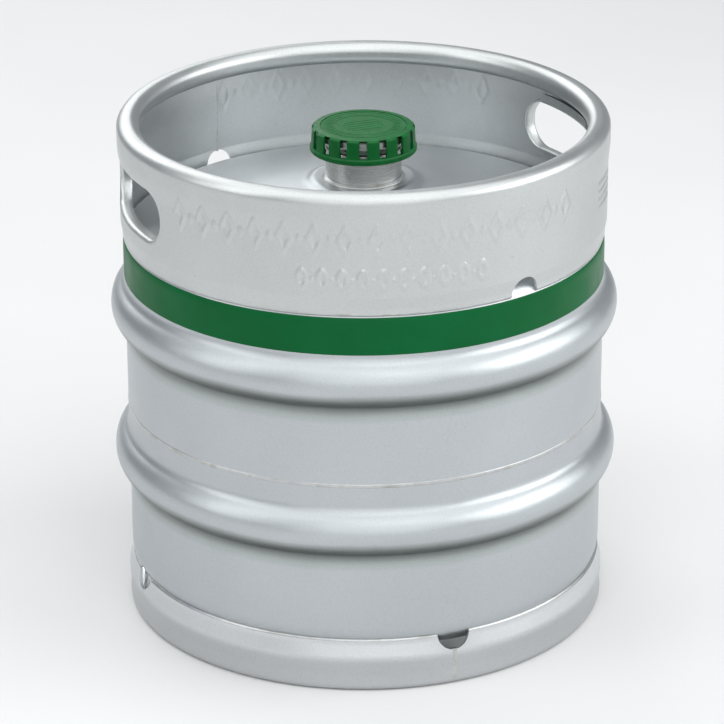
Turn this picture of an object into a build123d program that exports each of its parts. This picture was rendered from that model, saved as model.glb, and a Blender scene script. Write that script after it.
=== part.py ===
from build123d import *
from math import asin, cos, degrees, pi, radians, sin, sqrt, tan
import os

# A 30 litre stainless steel beer keg with a flat slider fitting, millimetres, +Z up.
# The origin is the centre of the foot ring on the floor. Azimuth 0 faces -Y and grows towards +X.
# The two hand holes lie on either side, near -X and +X.

# ---- driving dimensions ------------------------------------------------------------------
KEG_HEIGHT = 386.0
BODY_R = 179.7              # outside of the drawn shells
SHELL_T = 1.5
HOOP_R = 190.5              # over the rolling hoops: 381 mm across
HOOP_Z = (126.2, 242.4)     # crest heights of the lower and upper hoop
HOOP_CREST_R = 19.0
HOOP_ROOT_R = 9.0
HOOP_SLOPE = 50.0           # of the flanks, away from the vertical
GIRTH_Z = 164.0             # where the two half shells are welded together
TOP_CROWN_R = 470.0         # dished ends
BOTTOM_CROWN_R = 630.0
TOP_KNUCKLE_R = 16.0
BOTTOM_KNUCKLE_R = 24.0
TOP_APEX_Z = 335.2
BOTTOM_APEX_Z = 6.0
COLLAR_R = 36.0             # flat round the neck on the drawn-up boss
COLLAR_RISE_R = 8.0
COLLAR_ROOT_R = 12.0
COLLAR_SLOPE = 35.0

CHIME_T = 2.0
CHIME_R = 181.5             # outside of the upper chime's wall
CHIME_FOOT_R = 180.0
CHIME_Z = 297.2             # lower edge of the upper chime
CHIME_FLARE_Z = (354.0, 368.0)  # the wall opens from its own radius to the rim's
RIM_R = 182.7
RIM_ROLL = 17.0             # across the rolled rim
RIM_CORNER_R = 7.25         # leaves a stacking flat along the crest
HANDLE_AZIMUTHS = (-93.3, 93.3)
HANDLE_W = 111.0
HANDLE_H = 37.0
HANDLE_Z = 339.5
HANDLE_CORNER_R = 17.5
LIP_DEPTH = 9.5             # how far the lip round a hand hole turns inwards
GRIP_W = 74.0               # the lip's upper edge is folded up over this width
GRIP_H = 8.6
GRIP_R = 169.2
GRIP_T = 1.8
DRAIN_R = 12.0
DRAIN_Z = 297.0
DRAIN_AZIMUTHS = (18.5, 198.5)
CHIME_SEAM_AZIMUTH = 198.5
CHIME_SEAM_TOP_Z = 366.0

FOOT_T = 2.0
FOOT_R = 181.8
FOOT_TOP_R = 179.5          # the ring's upper edge, level with the shell
FOOT_CURL_R = 169.5         # inside of the curl that the keg stands on
FOOT_TOP_Z = 39.5
NOTCH_R = 12.5
NOTCH_Z = 40.8
NOTCH_AZIMUTHS = (0.0, 90.0, 180.0, 270.0)
FOOT_SEAM_AZIMUTH = 0.0
FOOT_SEAM_Z = 4.5

BAND_Z = (264.6, 294.1)
BAND_T = 0.4

NECK_R = 28.3
NECK_BORE_R = 25.4
NECK_Z = (330.0, 360.5)
GASKET_T = 1.5
FLANGE_R = 35.0             # the slider coupler grips this flange
FLANGE_T = 6.5
FLANGE_TOP_Z = 374.3
SHANK_R = 25.3              # crest of the screw thread
THREAD_PITCH = 1.814        # fourteen turns to the inch
SHANK_END_Z = 338.0
SKIRT_R = 24.0
SKIRT_END_Z = 324.0
VALVE_MOUTH_R = 18.6
CHAMBER_R = 21.0
LIP_Z = 370.6               # underside of the valve seat
SNAP_RING_Z = (326.8, 329.2)
SNAP_GROOVE_R = 22.6
SNAP_RING_R = 26.8

SEAL_R = 20.2
SEAL_BORE_R = 7.2
SEAL_T = 6.5
CARRIER_T = 2.5
CARRIER_R = 19.6
SLEEVE_BORE_R = 11.25
SLEEVE_R = 13.8
SLEEVE_END_Z = 342.0
BUTTON_R = 9.3
BUTTON_TOP_Z = 373.2
STEM_R = 3.5
TUBE_R = 11.0
TUBE_T = 0.8
TUBE_TOP_Z = 355.0
TUBE_CLEARANCE = 5.0        # under the spear, above the bottom of the vessel
CAGE_R = 20.8
CAGE_TOP_Z = 332.0
CAGE_FLOOR_Z = (304.0, 306.0)
CAGE_FLANGE_R = 23.5
SPRING_R = 16.4
SPRING_WIRE_R = 1.1
SPRING_TURNS = 7.0
O_RING_R = 0.95
O_RING_Z = 348.0

CAP_TOP_Z = 376.4
CAP_TOP_R = 38.3
CAP_RING_R = 39.8
CAP_BASE_Z = 357.4
CAP_WALL = 1.6
CAP_RING_H = 4.6
CAP_WINDOWS = 16
CAP_WINDOW_W = 5.8
CAP_WINDOW_OFFSET = -21.3   # azimuth of the first window
CAP_LUG_R = 35.35

PARTS = "parts"


# ---- small helpers -----------------------------------------------------------------------
def place(shape, azimuth):
    """Turns a piece built facing -Y to its azimuth."""
    return Rot(0, 0, azimuth) * shape


def turned(face):
    """A solid of revolution from a face drawn with x as the radius and y as the height."""
    return revolve(Plane.XZ * face, Axis.Z)


def turned_outline(*points):
    """A solid of revolution from the corners (radius, height) of its section."""
    return turned(make_face(Polyline(*points, close=True)))


def ring(inner, outer, low, high):
    return turned_outline((inner, low), (outer, low), (outer, high), (inner, high))


def turned_sheet(path, thickness, side):
    """Sheet metal of revolution: path is one skin, the other lies to the given side of it."""
    return turned(make_face(offset(path, amount=thickness, side=side)))


def radial_rod(radius, z, azimuth, inner=150.0, outer=200.0):
    """A round bar along a radius of the keg, used to punch drain holes."""
    rod = Plane.XZ * Pos(0, z, inner) * extrude(Circle(radius), outer - inner)
    return place(rod, azimuth)


def largest(shape):
    """The biggest solid of a boolean result."""
    return max(shape.solids(), key=lambda s: s.volume)


def crown(apex_z, crown_r, knuckle_r, sign):
    """Heights of the crown's and the knuckle's centres, and the angle at which the two arcs meet."""
    crown_z = apex_z - sign * crown_r
    across = BODY_R - knuckle_r
    knuckle_z = crown_z + sign * sqrt((crown_r - knuckle_r) ** 2 - across ** 2)
    joint = degrees(asin(across / (crown_r - knuckle_r)))
    return crown_z, knuckle_z, joint


def hoop_corners(z):
    """Corners and radii of one rolling hoop, from bottom to top."""
    apex = HOOP_R + HOOP_CREST_R * (1 / cos(radians(HOOP_SLOPE)) - 1)
    half = (apex - BODY_R) / tan(radians(HOOP_SLOPE))
    corners = [(BODY_R, z - half), (apex, z), (BODY_R, z + half)]
    return corners, [HOOP_ROOT_R, HOOP_CREST_R, HOOP_ROOT_R]


# ---- vessel ------------------------------------------------------------------------------
def upper_shell_path():
    crown_z, knuckle_z, joint = crown(TOP_APEX_Z, TOP_CROWN_R, TOP_KNUCKLE_R, 1)
    corners, radii = hoop_corners(HOOP_Z[1])
    wall = FilletPolyline((BODY_R, GIRTH_Z + 0.6), *corners, (BODY_R, knuckle_z), radius=radii)
    knuckle = CenterArc((BODY_R - TOP_KNUCKLE_R, knuckle_z), TOP_KNUCKLE_R, 0, 90 - joint)
    # The boss round the neck: a hollow curve out of the crown, then a round shoulder to a flat.
    slope = COLLAR_SLOPE
    foot_r = COLLAR_R + COLLAR_RISE_R * sin(radians(slope))
    start_r = foot_r
    for _ in range(20):
        tilt = degrees(asin(start_r / TOP_CROWN_R))
        start_r = foot_r + COLLAR_ROOT_R * (sin(radians(slope)) - sin(radians(tilt)))
    crown_arc = CenterArc((0, crown_z), TOP_CROWN_R, 90 - joint, joint - tilt)
    end_z = crown_z + TOP_CROWN_R * cos(radians(tilt))
    root_c = (start_r + COLLAR_ROOT_R * sin(radians(tilt)), end_z + COLLAR_ROOT_R * cos(radians(tilt)))
    root = CenterArc(root_c, COLLAR_ROOT_R, 270 - tilt, tilt - slope)
    rise_c = (
        root_c[0] - (COLLAR_ROOT_R + COLLAR_RISE_R) * sin(radians(slope)),
        root_c[1] - (COLLAR_ROOT_R + COLLAR_RISE_R) * cos(radians(slope)),
    )
    rise = CenterArc(rise_c, COLLAR_RISE_R, 90 - slope, slope)
    top_z = rise_c[1] + COLLAR_RISE_R
    flat = Line((rise_c[0], top_z), (NECK_R + 0.05, top_z))
    return Wire([*wall.edges(), knuckle, crown_arc, root, rise, flat]), top_z


def lower_shell_path():
    crown_z, knuckle_z, joint = crown(BOTTOM_APEX_Z, BOTTOM_CROWN_R, BOTTOM_KNUCKLE_R, -1)
    corners, radii = hoop_corners(HOOP_Z[0])
    crown_arc = CenterArc((0, crown_z), BOTTOM_CROWN_R, 270, joint)
    knuckle_c = (BODY_R - BOTTOM_KNUCKLE_R, knuckle_z)
    knuckle = CenterArc(knuckle_c, BOTTOM_KNUCKLE_R, 270 + joint, 90 - joint)
    wall = FilletPolyline((BODY_R, knuckle_z), *corners, (BODY_R, GIRTH_Z - 0.6), radius=radii)
    return Wire([crown_arc, knuckle, *wall.edges()])


def girth_weld():
    """The bead fills the gap between the two shells and stands a little proud outside."""
    gap, half, crown_h = 0.6, 1.7, 0.35
    return turned_outline(
        (BODY_R - SHELL_T, GIRTH_Z - gap),
        (BODY_R, GIRTH_Z - gap),
        (BODY_R, GIRTH_Z - half),
        (BODY_R + crown_h, GIRTH_Z - half / 2),
        (BODY_R + crown_h, GIRTH_Z + half / 2),
        (BODY_R, GIRTH_Z + half),
        (BODY_R, GIRTH_Z + gap),
        (BODY_R - SHELL_T, GIRTH_Z + gap),
    )


def colour_band(path):
    """The lacquered band: a thin coat that follows the shell above the upper hoop."""
    coat = turned_sheet(path, BAND_T, Side.RIGHT)
    return largest(coat & ring(BODY_R - 15, BODY_R + 15, *BAND_Z))


# ---- upper chime -------------------------------------------------------------------------
def chime_path():
    inner_r = RIM_R - RIM_ROLL
    low_z = KEG_HEIGHT - RIM_ROLL
    corners = [
        (CHIME_FOOT_R, CHIME_Z + 3), (CHIME_R, CHIME_Z + 12),
        (CHIME_R, CHIME_FLARE_Z[0]), (RIM_R, CHIME_FLARE_Z[1]),
        (RIM_R, KEG_HEIGHT), (inner_r, KEG_HEIGHT), (inner_r, low_z),
    ]
    radii = [8, 8, 40, 40, RIM_CORNER_R, RIM_CORNER_R, RIM_CORNER_R]
    return FilletPolyline((CHIME_FOOT_R, CHIME_Z), *corners, (inner_r + 9.5, low_z), radius=radii)


def hand_hole(growth, inner, outer):
    """A bar along the radius at azimuth 0 with the hand hole's rounded outline."""
    outline = RectangleRounded(HANDLE_W + 2 * growth, HANDLE_H + 2 * growth, HANDLE_CORNER_R + growth)
    return Plane.XZ * Pos(0, HANDLE_Z, inner) * extrude(outline, outer - inner)


def grip_fold():
    """The upper edge of a hand hole's lip, carried inwards and folded up as a grip."""
    low = HANDLE_Z + HANDLE_H / 2
    outer = CHIME_R - LIP_DEPTH + 0.6
    fold = turned_outline(
        (GRIP_R, low), (outer, low), (outer, low + CHIME_T), (GRIP_R + GRIP_T, low + CHIME_T),
        (GRIP_R + GRIP_T, low + GRIP_H), (GRIP_R, low + GRIP_H),
    )
    return fold & Pos(0, -GRIP_R, low) * Box(GRIP_W, 60, 40)


def top_chime():
    chime = turned_sheet(chime_path(), CHIME_T, Side.LEFT)
    wall_round = Cylinder(CHIME_R - CHIME_T / 2, 100, align=(Align.CENTER, Align.CENTER, Align.MIN))
    wall_round = Pos(0, 0, CHIME_Z) * wall_round
    inner_round = Cylinder(CHIME_R - LIP_DEPTH, 100, align=(Align.CENTER, Align.CENTER, Align.MIN))
    inner_round = Pos(0, 0, CHIME_Z) * inner_round
    lip = (hand_hole(CHIME_T, 130, 200) & wall_round) - inner_round
    for azimuth in HANDLE_AZIMUTHS:
        chime = chime + place(lip, azimuth)
        chime = chime - place(hand_hole(0, 120, 210), azimuth)
        chime = chime + place(grip_fold(), azimuth)
    for azimuth in DRAIN_AZIMUTHS:
        chime = chime - radial_rod(DRAIN_R, DRAIN_Z, azimuth)
    return largest(chime - seam_slot(CHIME_SEAM_AZIMUTH, DRAIN_Z + DRAIN_R - 1, CHIME_SEAM_TOP_Z))


def seam_slot(azimuth, low, high, width=2.0):
    slot = Pos(0, -175, (low + high) / 2) * Box(width, 30, high - low)
    return place(slot, azimuth)


def chime_seam():
    """A butt weld up the chime: it fills its slot and stands proud on both faces."""
    low = DRAIN_Z + DRAIN_R - 1
    core = ring(CHIME_R - CHIME_T - 0.25, CHIME_R + 0.25, low, CHIME_SEAM_TOP_Z)
    return largest(core & seam_slot(CHIME_SEAM_AZIMUTH, low, CHIME_SEAM_TOP_Z))


def top_chime_weld(shell, chime):
    """A fillet under the chime's lower edge, open at the drain holes."""
    bead = turned_outline(
        (177.2, CHIME_Z - 2.5), (178.9, CHIME_Z - 2.4), (179.5, CHIME_Z - 1.6),
        (179.7, CHIME_Z), (176.5, CHIME_Z),
    )
    for azimuth in DRAIN_AZIMUTHS:
        bead = bead - radial_rod(DRAIN_R, DRAIN_Z, azimuth)
    return bead - shell - chime


# ---- foot ring ---------------------------------------------------------------------------
def foot_path():
    """Outer skin, from the weld down over a low swell to the crest and up inside."""
    corners = [
        (FOOT_TOP_R + 0.1, FOOT_TOP_Z - 2.5), (182.5, 26.0), (181.2, 13.0), (FOOT_R, 5.0), (FOOT_R, 0.0),
        (FOOT_CURL_R, 0.0),
    ]
    radii = [8, 14, 16, 10, 4.5, 4]
    return FilletPolyline((FOOT_TOP_R, FOOT_TOP_Z), *corners, (FOOT_CURL_R, 9.0), radius=radii)


def foot_slot():
    return seam_slot(FOOT_SEAM_AZIMUTH, FOOT_SEAM_Z, NOTCH_Z - NOTCH_R + 1)


def bottom_chime():
    foot = turned_sheet(foot_path(), FOOT_T, Side.RIGHT)
    for azimuth in NOTCH_AZIMUTHS:
        foot = foot - radial_rod(NOTCH_R, NOTCH_Z, azimuth)
    return largest(foot - foot_slot())


def bottom_chime_seam(foot):
    """A butt weld up the foot ring, dressed flush with its skins."""
    return largest((turned_sheet(foot_path(), FOOT_T, Side.RIGHT) & foot_slot()) - foot)


def bottom_chime_weld(shell, foot):
    """A fillet above the foot ring's upper edge, open at the notches."""
    bead = turned_outline(
        (177.3, FOOT_TOP_Z), (FOOT_TOP_R - 0.2, FOOT_TOP_Z), (178.9, FOOT_TOP_Z + 1.1),
        (177.6, FOOT_TOP_Z + 1.8),
    )
    for azimuth in NOTCH_AZIMUTHS:
        bead = bead - radial_rod(NOTCH_R, NOTCH_Z, azimuth)
    return bead - foot - shell


# ---- neck and fitting --------------------------------------------------------------------
def neck_socket():
    neck = ring(NECK_BORE_R, NECK_R, *NECK_Z)
    return chamfer(neck.edges().sort_by(Axis.Z)[-2:], 0.6)


def neck_weld(collar_z):
    leg = 2.4
    section = Polyline((NECK_R, collar_z), (NECK_R + leg, collar_z), (NECK_R, collar_z + leg), close=True)
    return turned(make_face(section))


def fitting_body():
    gasket_top = NECK_Z[1] + GASKET_T
    collar_r = NECK_R - 0.3
    flange_low = FLANGE_TOP_Z - FLANGE_T
    body = turned_outline(
        (VALVE_MOUTH_R + 1.2, FLANGE_TOP_Z), (FLANGE_R - 1.2, FLANGE_TOP_Z),
        (FLANGE_R, FLANGE_TOP_Z - 1.2), (FLANGE_R, flange_low + 1.0), (FLANGE_R - 1.0, flange_low),
        (collar_r, flange_low), (collar_r, gasket_top), (SHANK_R, gasket_top),
        (SHANK_R, SHANK_END_Z), (SKIRT_R, SHANK_END_Z - 1.5), (SKIRT_R, SNAP_RING_Z[1]),
        (SNAP_GROOVE_R, SNAP_RING_Z[1]), (SNAP_GROOVE_R, SNAP_RING_Z[0]), (SKIRT_R, SNAP_RING_Z[0]),
        (SKIRT_R, SKIRT_END_Z), (CHAMBER_R, SKIRT_END_Z), (CHAMBER_R, LIP_Z),
        (VALVE_MOUTH_R, LIP_Z), (VALVE_MOUTH_R, FLANGE_TOP_Z - 1.2),
    )
    turns = int((gasket_top - SHANK_END_Z) / THREAD_PITCH)
    for turn in range(1, turns):
        z = SHANK_END_Z + turn * THREAD_PITCH
        groove = turned_outline((SHANK_R - 0.9, z), (SHANK_R + 1, z + 0.85), (SHANK_R + 1, z - 0.85))
        body = body - groove
    return largest(body)


def neck_gasket():
    return ring(SHANK_R + 0.2, NECK_R - 0.4, NECK_Z[1], NECK_Z[1] + GASKET_T)


def safety_snap_ring():
    snap = ring(SNAP_GROOVE_R + 0.05, SNAP_RING_R, SNAP_RING_Z[0] + 0.1, SNAP_RING_Z[1] - 0.1)
    return largest(snap - Pos(0, 25, SNAP_RING_Z[0]) * Box(9, 20, 10))


def valve_cage():
    low, floor = CAGE_FLOOR_Z
    cage = turned_outline(
        (CAGE_R - 1.6, CAGE_TOP_Z), (CAGE_R, CAGE_TOP_Z), (CAGE_R, SKIRT_END_Z),
        (CAGE_FLANGE_R, SKIRT_END_Z), (CAGE_FLANGE_R, SKIRT_END_Z - 2), (CAGE_R, SKIRT_END_Z - 2),
        (CAGE_R, low), (TUBE_R + 0.1, low), (TUBE_R + 0.1, floor), (CAGE_R - 1.6, floor),
    )
    port = Pos(0, -CAGE_R, (floor + SKIRT_END_Z - 3) / 2 + 1) * Box(9, 8, SKIRT_END_Z - 6 - floor)
    for azimuth in range(0, 360, 60):
        cage = cage - place(port, azimuth)
    return largest(cage)


def valve_spring():
    """A round wire coil between the cage floor and the seal carrier."""
    low = CAGE_FLOOR_Z[1] + SPRING_WIRE_R + 0.15
    high = LIP_Z - SEAL_T - CARRIER_T - SPRING_WIRE_R - 0.15
    path = Helix(pitch=(high - low) / SPRING_TURNS, height=high - low, radius=SPRING_R)
    section = Plane(origin=path @ 0, z_dir=path % 0) * Circle(SPRING_WIRE_R)
    return Pos(0, 0, low) * sweep(section, path=path, is_frenet=True)


def seal_carrier():
    """The disc that the rubber sits on, with the sleeve that slides on the spear."""
    top = LIP_Z - SEAL_T
    carrier = turned_outline(
        (SLEEVE_BORE_R, top), (CARRIER_R, top), (CARRIER_R, top - CARRIER_T),
        (SLEEVE_R, top - CARRIER_T), (SLEEVE_R, SLEEVE_END_Z), (SLEEVE_BORE_R, SLEEVE_END_Z),
    )
    seat_r = TUBE_R + 0.15 + 2 * O_RING_R + 0.05
    return carrier - ring(SLEEVE_BORE_R - 1, seat_r, O_RING_Z - O_RING_R - 0.1, O_RING_Z + O_RING_R + 0.1)


def valve_seal():
    seal = turned_outline(
        (SEAL_BORE_R, LIP_Z), (SEAL_R, LIP_Z), (SEAL_R, LIP_Z - SEAL_T + 1),
        (SEAL_R - 1, LIP_Z - SEAL_T), (SEAL_BORE_R + 1.5, LIP_Z - SEAL_T), (SEAL_BORE_R, LIP_Z - 3),
    )
    groove = ring(12.5, 14.5, LIP_Z - 0.7, LIP_Z + 1)
    return seal - groove


def spear_o_ring():
    centre_r = TUBE_R + 0.15 + O_RING_R
    return turned(Pos(centre_r, O_RING_Z) * Circle(O_RING_R))


def centre_plug():
    """The fixed button that the seal closes against, on a stem held in the spear's mouth."""
    plug = turned_outline(
        (0, BUTTON_TOP_Z), (BUTTON_R - 1.6, BUTTON_TOP_Z), (BUTTON_R, BUTTON_TOP_Z - 1),
        (BUTTON_R, LIP_Z), (STEM_R, LIP_Z), (STEM_R, TUBE_TOP_Z - 9), (0, TUBE_TOP_Z - 11),
    )
    web_r = TUBE_R - TUBE_T - 0.02
    web = Pos(0, -web_r / 2, TUBE_TOP_Z - 4.5) * Box(1.5, web_r, 7)
    for azimuth in (0, 120, 240):
        plug = plug + place(web, azimuth)
    return plug & Pos(0, 0, TUBE_TOP_Z) * Cylinder(web_r, 100)


def spear_tube():
    low = BOTTOM_APEX_Z + SHELL_T + TUBE_CLEARANCE
    tube = ring(TUBE_R - TUBE_T, TUBE_R, low, TUBE_TOP_Z)
    for azimuth in (0, 90):
        tube = tube - Pos(0, 0, low) * place(Box(5, 40, 6), azimuth)
    return tube


def spear_collar():
    return ring(TUBE_R, TUBE_R + 2.2, CAGE_FLOOR_Z[1], CAGE_FLOOR_Z[1] + 3)


def spear_circlip():
    clip = ring(TUBE_R, TUBE_R + 3.4, CAGE_FLOOR_Z[0] - 1.3, CAGE_FLOOR_Z[0])
    return largest(clip - Pos(0, 13, CAGE_FLOOR_Z[0]) * Box(5, 10, 6))


# ---- cap ---------------------------------------------------------------------------------
def keg_cap():
    """A snap-on cap: a disc, a skirt cut into ribs by windows, and a closed ring below."""
    under = CAP_TOP_Z - CAP_WALL
    ring_top = CAP_BASE_Z + CAP_RING_H
    groove_r = 32.2
    cap = turned_outline(
        (0, CAP_TOP_Z - 0.3), (groove_r - 0.6, CAP_TOP_Z - 0.3), (groove_r - 0.6, CAP_TOP_Z - 0.7),
        (groove_r, CAP_TOP_Z - 0.7), (groove_r, CAP_TOP_Z), (CAP_TOP_R - 1.6, CAP_TOP_Z - 0.4),
        (CAP_TOP_R, CAP_TOP_Z - 1.6), (CAP_TOP_R + 0.6, ring_top), (CAP_RING_R, ring_top - 1.2),
        (CAP_RING_R, CAP_BASE_Z + 0.8), (CAP_RING_R - 0.8, CAP_BASE_Z),
        (CAP_RING_R - 2.4, CAP_BASE_Z), (CAP_TOP_R - 1.1, ring_top), (CAP_TOP_R - 1.7, under),
        (0, under),
    )
    window_h = under + 1.0 - ring_top
    window = Pos(0, -CAP_TOP_R, ring_top + window_h / 2) * Box(CAP_WINDOW_W, 6.4, window_h)
    lug = turned_outline(
        (CAP_LUG_R, CAP_BASE_Z + 7.0), (CAP_TOP_R - 1.0, CAP_BASE_Z + 9.5),
        (CAP_TOP_R - 1.0, CAP_BASE_Z + 3.5), (CAP_LUG_R + 0.8, CAP_BASE_Z + 4.5),
    )
    cap = cap + lug
    for number in range(CAP_WINDOWS):
        cap = cap - place(window, CAP_WINDOW_OFFSET + number * 360 / CAP_WINDOWS)
    return largest(cap)


# ---- write -------------------------------------------------------------------------------
def main():
    os.makedirs(PARTS, exist_ok=True)
    upper_path, collar_z = upper_shell_path()
    upper = turned_sheet(upper_path, SHELL_T, Side.LEFT)
    lower = turned_sheet(lower_shell_path(), SHELL_T, Side.LEFT)
    chime = top_chime()
    foot = bottom_chime()
    nodes = {
        "upper_shell": upper,
        "lower_shell": lower,
        "girth_weld": girth_weld(),
        "colour_band": colour_band(upper_path),
        "top_chime": chime,
        "top_chime_seam": chime_seam() - chime,
        "top_chime_weld": top_chime_weld(upper, chime),
        "bottom_chime": foot,
        "bottom_chime_seam": bottom_chime_seam(foot),
        "bottom_chime_weld": bottom_chime_weld(lower, foot),
        "neck_socket": neck_socket(),
        "neck_weld": neck_weld(collar_z),
        "neck_gasket": neck_gasket(),
        "fitting_body": fitting_body(),
        "safety_snap_ring": safety_snap_ring(),
        "valve_cage": valve_cage(),
        "valve_spring": valve_spring(),
        "seal_carrier": seal_carrier(),
        "valve_seal": valve_seal(),
        "spear_o_ring": spear_o_ring(),
        "centre_plug": centre_plug(),
        "spear_tube": spear_tube(),
        "spear_collar": spear_collar(),
        "spear_circlip": spear_circlip(),
        "keg_cap": keg_cap(),
    }
    for name, shape in nodes.items():
        export_step(shape, f"{PARTS}/{name}.step")


main()
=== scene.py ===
from math import acos, asin, atan2, ceil, cos, degrees, pi, radians, sin, sqrt, tan

import bmesh
import bpy
import numpy as np
from mathutils import Matrix, Vector


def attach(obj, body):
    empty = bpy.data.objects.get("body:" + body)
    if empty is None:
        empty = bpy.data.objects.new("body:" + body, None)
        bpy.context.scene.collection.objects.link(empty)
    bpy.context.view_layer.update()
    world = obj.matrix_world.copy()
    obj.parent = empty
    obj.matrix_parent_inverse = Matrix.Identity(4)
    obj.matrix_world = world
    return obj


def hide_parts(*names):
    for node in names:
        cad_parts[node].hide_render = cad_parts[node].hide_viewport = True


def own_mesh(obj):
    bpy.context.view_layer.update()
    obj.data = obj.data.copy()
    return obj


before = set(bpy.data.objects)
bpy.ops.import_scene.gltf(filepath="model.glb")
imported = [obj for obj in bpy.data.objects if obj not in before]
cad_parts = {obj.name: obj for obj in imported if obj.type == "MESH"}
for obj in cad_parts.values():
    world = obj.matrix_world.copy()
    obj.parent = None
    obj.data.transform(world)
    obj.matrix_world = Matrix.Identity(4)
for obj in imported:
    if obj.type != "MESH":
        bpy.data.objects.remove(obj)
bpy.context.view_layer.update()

MM = 0.001

# ------------------------------------------------------------------ dimensions, millimetres
HEIGHT = 386.0
BODY_R = 179.7
SHELL_T = 1.5
HOOP_R = 190.5
HOOP_Z = (126.2, 242.4)
HOOP_CREST_R = 19.0
HOOP_ROOT_R = 9.0
HOOP_SLOPE = 50.0
GIRTH_Z = 164.0
GIRTH_GAP = 0.6               # half the gap between the shells, which the weld fills
TOP_CROWN_R = 470.0
BOTTOM_CROWN_R = 630.0
TOP_KNUCKLE_R = 16.0
BOTTOM_KNUCKLE_R = 24.0
TOP_APEX_Z = 335.2
BOTTOM_APEX_Z = 6.0
COLLAR_R = 36.0
COLLAR_RISE_R = 8.0
COLLAR_ROOT_R = 12.0
COLLAR_SLOPE = 35.0
NECK_R = 28.3
NECK_BORE_R = 25.4
NECK_Z = (330.0, 360.5)

CHIME_T = 2.0
CHIME_R = 181.5
CHIME_FOOT_R = 180.0
CHIME_Z = 297.2
CHIME_FLARE_Z = (354.0, 368.0)
RIM_R = 182.7
RIM_ROLL = 17.0
RIM_CORNER_R = 7.25
HANDLE_AZ = (-93.3, 93.3)
HANDLE_W = 111.0
HANDLE_H = 37.0
HANDLE_Z = 339.5
HANDLE_CORNER_R = 17.5
LIP_DEPTH = 9.5
LIP_BEND = 3.5
DRAIN_R = 12.0
DRAIN_Z = 297.0
DRAIN_AZ = (18.5, -161.5)
CHIME_SEAM_AZ = -161.5
CHIME_SEAM_TOP_Z = 366
WINDOW_HALF_AZ = 20.5         # half of the patch of wall that is remeshed round a hand hole
WINDOW_MARGIN = (6.5, 6.0)    # the patch's reach below and above the hole
GRIP_W = 74.0
GRIP_T = 1.8
RELIEF_TOP_Z = 370.0          # the ornament fades out over RELIEF_FADE below this height
RELIEF_FADE = 4.0
RELIEF_HEIGHT = (0.75, 0.25)  # in front, and at the back
UPPER_ROW_Z = 352.6
LOWER_ROW_Z = 323.0

FOOT_T = 2.0
FOOT_R = 181.8
FOOT_TOP_R = 179.5
FOOT_CURL_R = 169.5
FOOT_TOP_Z = 39.5
NOTCH_R = 12.5
NOTCH_Z = 40.8
NOTCH_AZ = (-90.0, 0.0, 90.0, 180.0)
FOOT_SEAM_AZ = 0.0
FOOT_SEAM_Z = 4.5
NOTCH_AT_R = 180.8            # radius at which a notch has its stated width
BEAD_R = 180.0                # radius that the ripples of the weld beads are spaced at

BAND_Z = (264.6, 294.1)
BAND_T = 0.4
CAP_TOP_Z = 376.4

SPRING_R = 16.4
SPRING_WIRE_R = 1.1
SPRING_TURNS = 7
SPRING_LOW_Z = 307.25          # centre of the wire at its lower end
SPRING_HIGH_Z = 360.35


# ------------------------------------------------------------------ curves in (radius, height)
def line(start, end, step):
    start, end = np.array(start, float), np.array(end, float)
    count = max(1, int(ceil(np.linalg.norm(end - start) / step)))
    return start + (end - start) * np.linspace(0, 1, count + 1)[:, None]


def arc(centre, radius, start, end, turn=5.0):
    count = max(2, int(ceil(abs(end - start) / turn)))
    angle = np.radians(np.linspace(start, end, count + 1))
    return np.array(centre) + radius * np.stack([np.cos(angle), np.sin(angle)], 1)


def join(*runs):
    """One run of points from several, without repeats."""
    points = np.concatenate(runs)
    keep = np.ones(len(points), bool)
    keep[1:] = np.linalg.norm(np.diff(points, axis=0), axis=1) > 1e-4
    return points[keep]


def rounded(corners, radii, step=4.0, turn=6.0):
    """A polyline with its inner corners rounded, sampled along its length."""
    corners = [np.array(c, float) for c in corners]
    runs, last = [], corners[0]
    for i, radius in enumerate(radii, 1):
        before, here, after = corners[i - 1], corners[i], corners[i + 1]
        d1 = (here - before) / np.linalg.norm(here - before)
        d2 = (after - here) / np.linalg.norm(after - here)
        turning = acos(float(np.clip(d1 @ d2, -1, 1)))
        reach = radius * tan(turning / 2)
        side = 1.0 if d1[0] * d2[1] - d1[1] * d2[0] > 0 else -1.0
        centre = here - d1 * reach + side * radius * np.array([-d1[1], d1[0]])
        first = here - d1 * reach - centre
        start = degrees(atan2(first[1], first[0]))
        bend = arc(centre, radius, start, start + side * degrees(turning), turn)
        runs += [line(last, bend[0], step), bend]
        last = bend[-1]
    return join(*runs, line(last, corners[-1], step))


def beside(path, distance):
    """The path moved to its left by a distance."""
    tangent = np.gradient(path, axis=0)
    tangent /= np.linalg.norm(tangent, axis=1)[:, None]
    return path + distance * np.stack([-tangent[:, 1], tangent[:, 0]], 1)


def resample(path, step):
    """The same path with no run longer than step."""
    return join(*[line(a, b, step) for a, b in zip(path[:-1], path[1:])])


def crown(apex_z, crown_r, knuckle_r, sign):
    crown_z = apex_z - sign * crown_r
    across = BODY_R - knuckle_r
    knuckle_z = crown_z + sign * sqrt((crown_r - knuckle_r) ** 2 - across ** 2)
    return crown_z, knuckle_z, degrees(asin(across / (crown_r - knuckle_r)))


def hoop_corners(z):
    apex = HOOP_R + HOOP_CREST_R * (1 / cos(radians(HOOP_SLOPE)) - 1)
    half = (apex - BODY_R) / tan(radians(HOOP_SLOPE))
    return [(BODY_R, z - half), (apex, z), (BODY_R, z + half)]


HOOP_RADII = [HOOP_ROOT_R, HOOP_CREST_R, HOOP_ROOT_R]


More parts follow.
